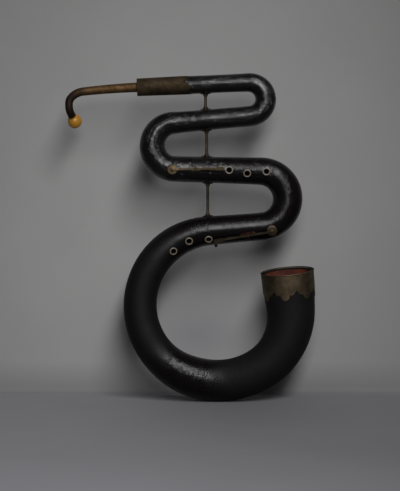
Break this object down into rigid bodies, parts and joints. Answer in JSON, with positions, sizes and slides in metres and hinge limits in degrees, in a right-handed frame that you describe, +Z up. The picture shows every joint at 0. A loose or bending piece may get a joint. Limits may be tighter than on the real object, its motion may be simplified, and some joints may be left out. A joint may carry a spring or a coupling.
{
  "type": "serpent horn",
  "caption": "Serpent, a folded bass horn: leather-covered walnut tube with finger holes, sprung keys, brass stays, crook and cup mouthpiece.",
  "frame": {"origin": "below the middle of the horn's box, level with the lowest point of the great bow", "axes": "+Z up as pictured, +X to the viewer's right, towards the bell, and +Y away from the side with the finger holes"},
  "size_m": [0.6006, 0.1318, 0.7873],
  "materials": {
    "black_leather": "worn satin black leather with a cracked shine",
    "walnut": "reddish varnished walnut",
    "aged_brass": "dull brown aged brass",
    "crook_brass": "worn brass, dark towards the curl",
    "key_brass": "aged yellow brass",
    "ivory": "ivory-coloured, turned and polished",
    "lapping_thread": "waxed linen thread",
    "pad_leather": "soft brown leather",
    "dark_steel": "dark oxidised steel"
  },
  "bodies": {
    "horn": {"walnut_length_1_front": "walnut", "walnut_length_1_back": "walnut", "walnut_length_2_front": "walnut", "walnut_length_2_back": "walnut", "walnut_length_3_front": "walnut", "walnut_length_3_back": "walnut", "walnut_length_4_front": "walnut", "walnut_length_4_back": "walnut", "walnut_length_5_front": "walnut", "walnut_length_5_back": "walnut", "leather_cover": "black_leather", "receiver_sleeve": "aged_brass", "receiver_socket": "aged_brass", "upper_finger_bushing_1": "ivory", "upper_finger_bushing_2": "ivory", "upper_finger_bushing_3": "ivory", "lower_finger_bushing_1": "ivory", "lower_finger_bushing_2": "ivory", "lower_finger_bushing_3": "ivory", "upper_key_saddle": "key_brass", "upper_key_axle": "dark_steel", "upper_key_saddle_screw_inner": "dark_steel", "upper_key_saddle_screw_outer": "dark_steel", "lower_key_saddle": "key_brass", "lower_key_axle": "dark_steel", "lower_key_saddle_screw_inner": "dark_steel", "lower_key_saddle_screw_outer": "dark_steel", "stay_rod_1": "key_brass", "stay_foot_1_upper": "key_brass", "stay_foot_1_lower": "key_brass", "stay_rod_2": "key_brass", "stay_foot_2_upper": "key_brass", "stay_foot_2_lower": "key_brass", "stay_rod_3": "key_brass", "stay_foot_3_upper": "key_brass", "stay_foot_3_lower": "key_brass", "bell_garland": "aged_brass", "bell_rim": "aged_brass"},
    "upper_key": {"upper_key_lever": "key_brass", "upper_key_pad": "pad_leather", "upper_key_spring": "dark_steel"},
    "lower_key": {"lower_key_lever": "key_brass", "lower_key_pad": "pad_leather", "lower_key_spring": "dark_steel"},
    "crook_lapping": {"crook_lapping": "lapping_thread"},
    "crook": {"crook": "crook_brass"},
    "mouthpiece": {"mouthpiece": "ivory"}
  },
  "joints": [
    {"name": "upper_key_hinge", "type": "hinge", "parent": "horn", "child": "upper_key", "pos_m": [0.01319, -0.03558, 0.55487], "axis": [-0.0175, -0.0262, 0.9995], "range_deg": [0, 5.5], "stiffness_Nm_per_rad": 0.15, "springref_deg": -11.46, "deforming": ["upper_key_spring"]},
    {"name": "lower_key_hinge", "type": "hinge", "parent": "horn", "child": "lower_key", "pos_m": [0.13777, -0.03305, 0.39696], "axis": [0.161, 0.4599, -0.8732], "range_deg": [0, 4.5], "stiffness_Nm_per_rad": 0.15, "springref_deg": -11.46, "deforming": ["lower_key_spring"]},
    {"name": "crook_slide", "type": "slide", "parent": "horn", "child": "crook_lapping", "axis": [-0.999, 0, -0.0436], "range_m": [0, 0.03]},
    {"name": "crook_turn", "type": "hinge", "parent": "crook_lapping", "child": "crook", "pos_m": [-0.12747, 0.00446, 0.75318], "axis": [-0.999, 0, -0.0436], "continuous": true},
    {"name": "mouthpiece_slide", "type": "slide", "parent": "crook", "child": "mouthpiece", "axis": [0.2981, 0.7103, -0.6377], "range_m": [0, 0.012]}
  ]
}
